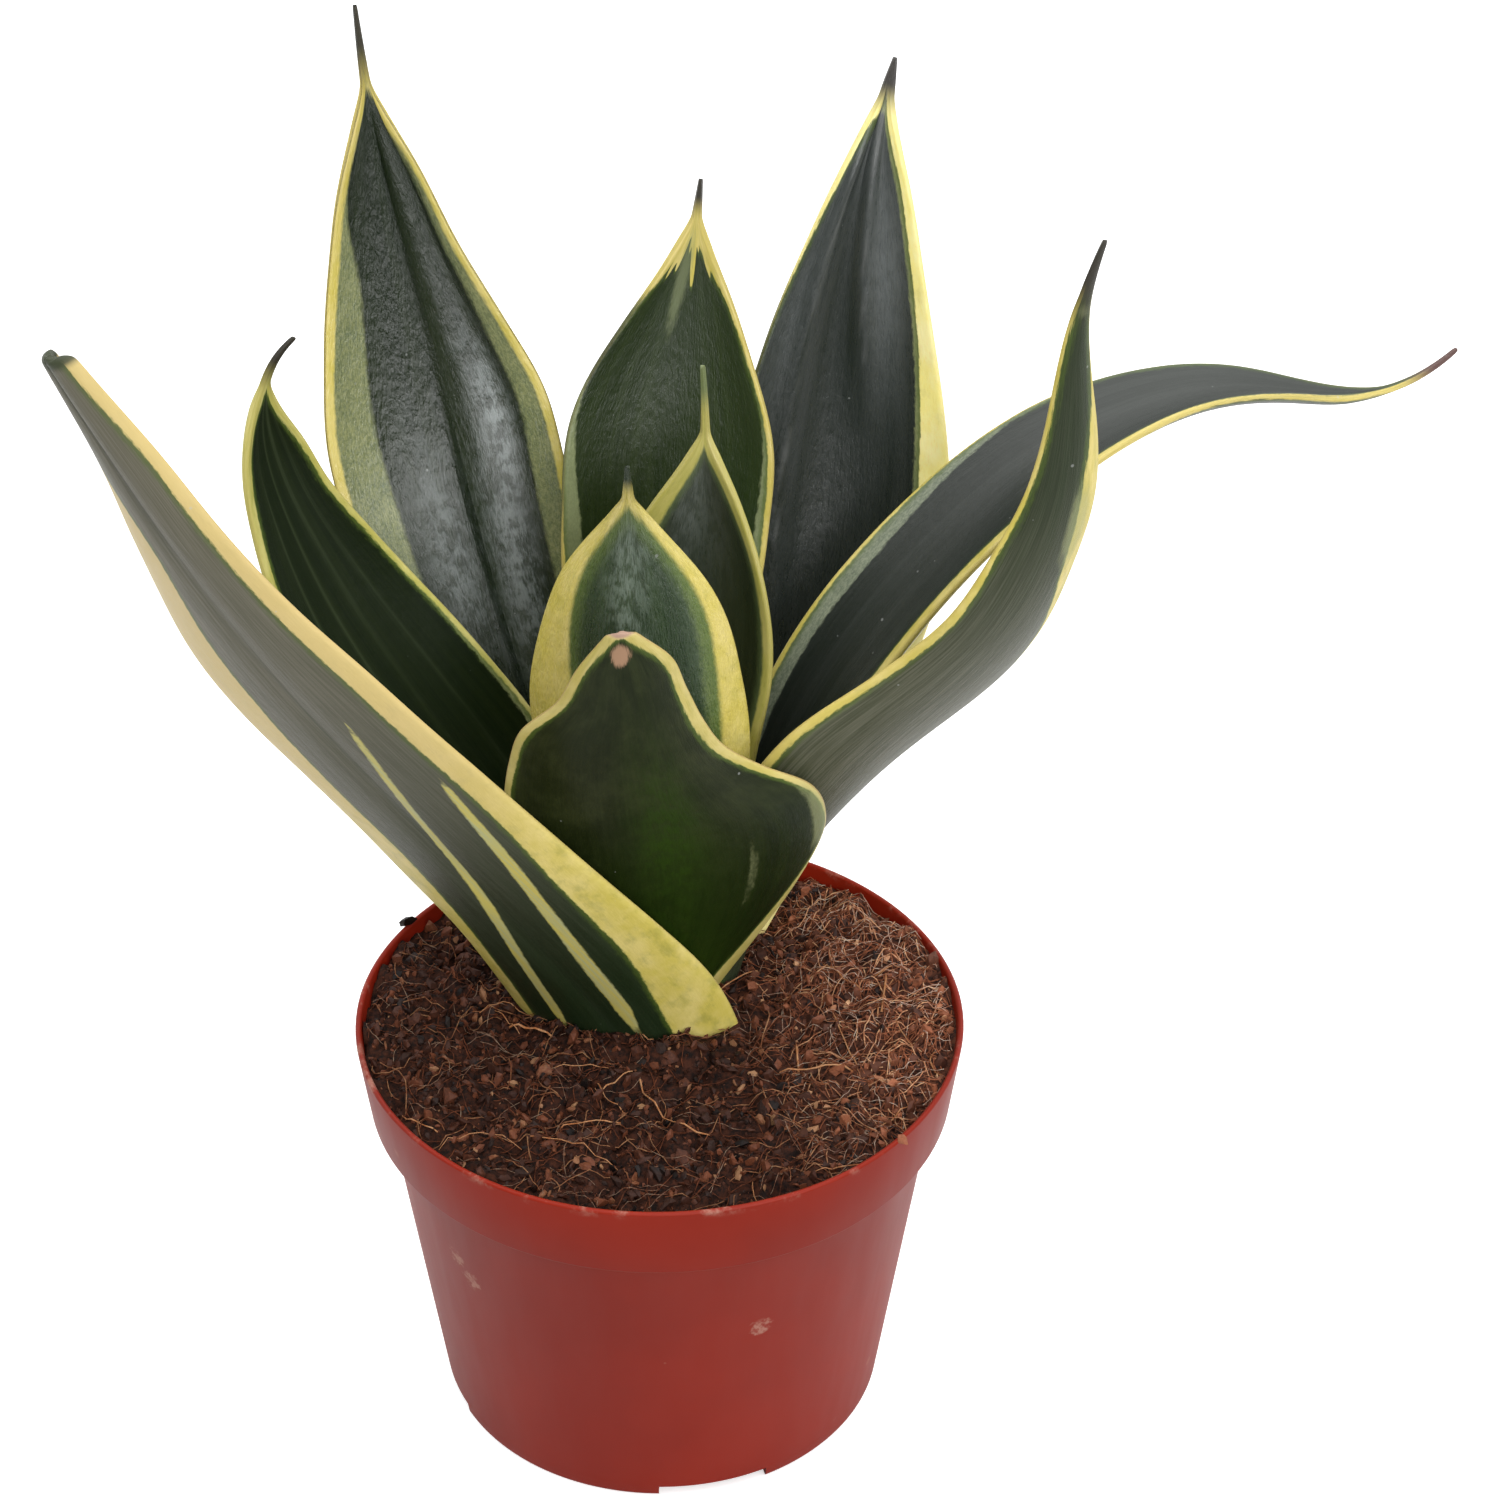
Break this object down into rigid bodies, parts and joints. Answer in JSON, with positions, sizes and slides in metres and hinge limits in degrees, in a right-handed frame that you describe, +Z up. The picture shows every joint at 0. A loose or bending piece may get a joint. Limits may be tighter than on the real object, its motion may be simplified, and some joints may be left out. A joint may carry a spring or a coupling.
{
  "type": "potted snake plant",
  "caption": "Young variegated snake plant with broad, pointed, cupped leaves rising from one crown, in a round plastic nursery pot filled with coir potting mix.",
  "frame": {"origin": "centre of the pot's underside, on the surface that it stands on", "axes": "+Z up, -Y towards the front that is seen in the picture, +X to the right as seen from the front"},
  "size_m": [0.2595, 0.1489, 0.2626],
  "materials": {
    "pot": "terracotta-coloured moulded plastic, satin, with pale mineral residue and scuffs",
    "soil": "dark brown coir and bark potting mix with tan fibres",
    "leaf": "waxy dark green leaf with irregular yellow margins and a soft sheen"
  },
  "bodies": {
    "root": {"pot": "pot", "soil": "soil", "leaf_left_front": "leaf", "leaf_left": "leaf", "leaf_tall_left": "leaf", "leaf_back": "leaf", "leaf_tall_right": "leaf", "leaf_long_right": "leaf", "leaf_right_front": "leaf", "leaf_centre_front": "leaf", "leaf_centre_back": "leaf", "leaf_front": "leaf"}
  },
  "joints": []
}
